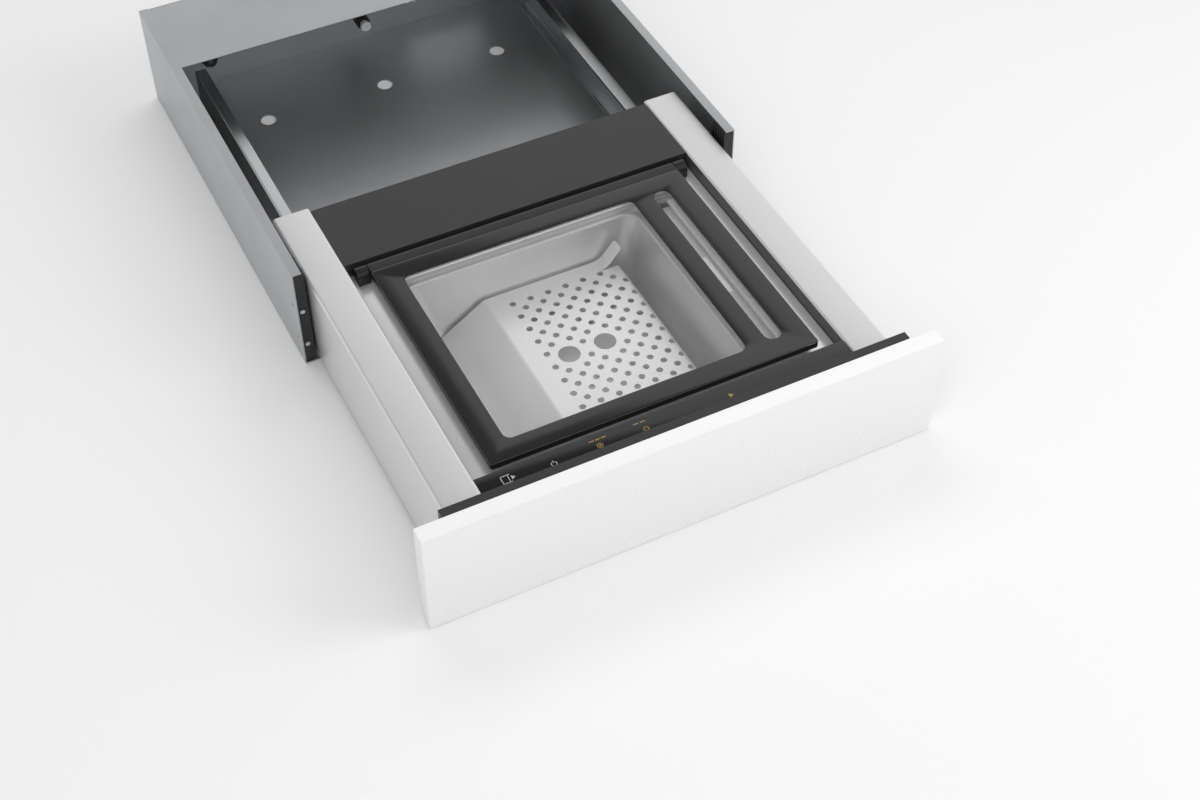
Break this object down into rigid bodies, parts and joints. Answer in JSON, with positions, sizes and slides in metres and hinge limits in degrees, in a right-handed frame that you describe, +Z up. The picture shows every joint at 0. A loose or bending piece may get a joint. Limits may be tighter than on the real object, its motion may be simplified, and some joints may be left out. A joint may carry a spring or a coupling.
{
  "type": "vacuum sealing drawer",
  "caption": "Built-in push-to-open drawer with a glass-lidded vacuum chamber, a lifting sealing bar and a touch control strip, on telescopic rails in an open-topped steel housing.",
  "frame": {"origin": "centre of the underside of the housing", "axes": "+Z up, +Y to the rear, the front panel faces -Y, +X to the right of someone who faces the front; the drawer is drawn open and the lid closed"},
  "size_m": [0.595, 0.95, 0.14],
  "materials": {
    "band_metal": "thin heating band",
    "black_glass": "back printed, gloss",
    "black_rubber": "matt",
    "board_green": "solder mask",
    "cable_grey": "flat ribbon cable",
    "cage_steel": "steel balls in a thin cage",
    "carrier_black": "fine grain",
    "cast_alu": "casting",
    "clear_glass": "clear toughened",
    "clip_steel": "polished spring steel",
    "core_brown": "laminated core, varnished",
    "cover_black": "satin black",
    "cylinder_grey": "anodised",
    "deck_steel": "polished satin",
    "gasket_rubber": "matt light silicone",
    "grey_print": "dark grey ceramic print",
    "hinge_black": "black anodised",
    "hose_rubber": "milky silicone",
    "housing_black": "fine grain",
    "insert_steel": "bright satin, perforated",
    "led_amber": "clear amber",
    "motor_grey": "painted casting",
    "pad_grey": "conductive foam",
    "pin_steel": "ground",
    "rail_steel": "zinc coated",
    "satin_steel": "satin",
    "screw_steel": "plain",
    "strip_black": "ribbed",
    "tank_steel": "fine blasted",
    "valve_blue": "moulded coil",
    "white_lacquer": "smooth white lacquered board",
    "white_plastic": "moulded",
    "zinc_sheet": "zinc coated sheet"
  },
  "bodies": {
    "housing": {"base_pan": "zinc_sheet", "side_panels": "zinc_sheet", "rear_panel": "zinc_sheet", "top_brace": "zinc_sheet", "mount_strips": "strip_black", "strip_screws": "screw_steel", "rail_brackets": "zinc_sheet", "outer_rails": "rail_steel", "latch_body": "housing_black", "cable_gland": "housing_black"},
    "middle_rails": {"middle_rails": "rail_steel"},
    "outer_cages": {"outer_ball_cages": "cage_steel"},
    "inner_cages": {"inner_ball_cages": "cage_steel"},
    "latch": {"latch_plunger": "white_plastic"},
    "drawer": {"front_panel": "white_lacquer", "front_carrier": "carrier_black", "front_screws": "screw_steel", "front_brackets": "zinc_sheet", "side_wall_left": "satin_steel", "side_wall_right": "satin_steel", "floor_pan": "zinc_sheet", "rear_wall": "zinc_sheet", "inner_rails": "rail_steel", "deck_ledges": "zinc_sheet", "deck_plate": "deck_steel", "chamber_tank": "tank_steel", "seal_trough": "tank_steel", "chamber_gasket": "gasket_rubber", "control_glass": "black_glass", "control_housing": "housing_black", "control_board": "board_green", "indicator_leds": "led_amber", "touch_pads": "pad_grey", "control_cable": "cable_grey", "hinge_brackets": "hinge_black", "hinge_pins": "pin_steel", "rear_cover": "cover_black", "pump_motor": "motor_grey", "pump_head": "cast_alu", "pump_dampers": "black_rubber", "fan_frame": "housing_black", "transformer": "core_brown", "power_board": "board_green", "vacuum_valve": "valve_blue", "suction_port": "pin_steel", "suction_hose": "hose_rubber", "pump_hose": "hose_rubber", "lift_cylinders": "cylinder_grey"},
    "fan": {"fan_impeller": "housing_black"},
    "lid": {"lid_glass": "clear_glass", "lid_border": "grey_print", "hinge_bar": "hinge_black", "counter_bar": "gasket_rubber"},
    "seal_bar": {"seal_bar": "cast_alu", "heating_band": "band_metal", "bag_clip": "clip_steel", "lift_rods": "pin_steel"},
    "insert": {"insert_plate": "insert_steel", "insert_feet": "black_rubber"}
  },
  "joints": [
    {"name": "drawer_slide", "type": "slide", "parent": "housing", "child": "drawer", "axis": [0, 1, 0], "range_m": [0, 0.375]},
    {"name": "middle_rail_slide", "type": "slide", "parent": "housing", "child": "middle_rails", "axis": [0, 1, 0], "range_m": [0, 0.1875]},
    {"name": "outer_cage_slide", "type": "slide", "parent": "housing", "child": "outer_cages", "axis": [0, 1, 0], "range_m": [0, 0.09375]},
    {"name": "inner_cage_slide", "type": "slide", "parent": "housing", "child": "inner_cages", "axis": [0, 1, 0], "range_m": [0, 0.28125]},
    {"name": "latch_push", "type": "slide", "parent": "housing", "child": "latch", "axis": [0, 1, 0], "range_m": [0, 0.004], "stiffness_N_per_m": 300, "springref_m": -0.002},
    {"name": "fan_spin", "type": "hinge", "parent": "drawer", "child": "fan", "pos_m": [0.132, -0.1775, 0.0473], "axis": [0, 1, 0], "continuous": true},
    {"name": "lid_hinge", "type": "hinge", "parent": "drawer", "child": "lid", "pos_m": [0, -0.278, 0.112], "axis": [-1, 0, 0], "range_deg": [0, 60]},
    {"name": "seal_bar_lift", "type": "slide", "parent": "drawer", "child": "seal_bar", "axis": [0, 0, 1], "range_m": [0, 0.0058]},
    {"name": "insert_lift_out", "type": "slide", "parent": "drawer", "child": "insert", "axis": [0, 0, 1], "range_m": [0, 0.025]}
  ],
  "couplings": [
    {"joint": "middle_rail_slide", "follows": "drawer_slide", "ratio": 0.5},
    {"joint": "outer_cage_slide", "follows": "drawer_slide", "ratio": 0.25},
    {"joint": "inner_cage_slide", "follows": "drawer_slide", "ratio": 0.75}
  ]
}
